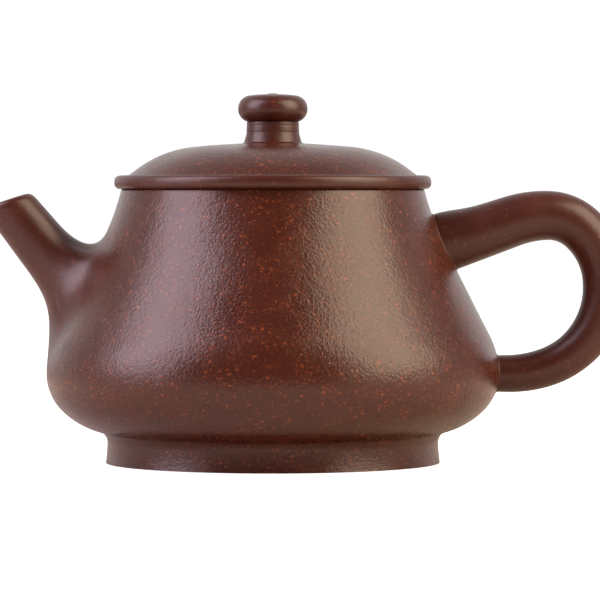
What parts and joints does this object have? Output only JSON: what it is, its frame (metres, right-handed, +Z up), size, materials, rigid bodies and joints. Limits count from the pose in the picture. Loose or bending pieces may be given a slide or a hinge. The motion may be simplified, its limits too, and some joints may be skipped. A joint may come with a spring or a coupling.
{
  "type": "clay teapot",
  "caption": "Small round unglazed stoneware teapot with a waisted foot, short upturned spout, ear-shaped loop handle and a domed lift-off lid with a button knob.",
  "frame": {"origin": "on the pot's axis, in the plane that the foot ring rests on", "axes": "+Z up along the pot's axis, the spout points along -X and the handle along +X"},
  "size_m": [0.1428, 0.1, 0.0815],
  "materials": {
    "textured_clay": "satin",
    "burnished_clay": "satin",
    "plain_clay": "matte"
  },
  "bodies": {
    "pot": {"body_wall": "textured_clay", "mouth_ring": "plain_clay", "base_disc": "plain_clay", "foot_ring": "textured_clay", "spout": "burnished_clay", "strainer": "plain_clay", "handle": "burnished_clay"},
    "lid_collar": {"lid_flange": "plain_clay"},
    "lid": {"lid_plate": "textured_clay", "lid_rim": "burnished_clay", "knob_neck": "burnished_clay", "knob": "burnished_clay"}
  },
  "joints": [
    {"name": "lid_lift", "type": "slide", "parent": "pot", "child": "lid_collar", "axis": [0, 0, 1], "range_m": [0, 0.06]},
    {"name": "lid_turn", "type": "hinge", "parent": "lid_collar", "child": "lid", "pos_m": [0, 0, 0.062], "axis": [0, 0, 1], "continuous": true}
  ]
}
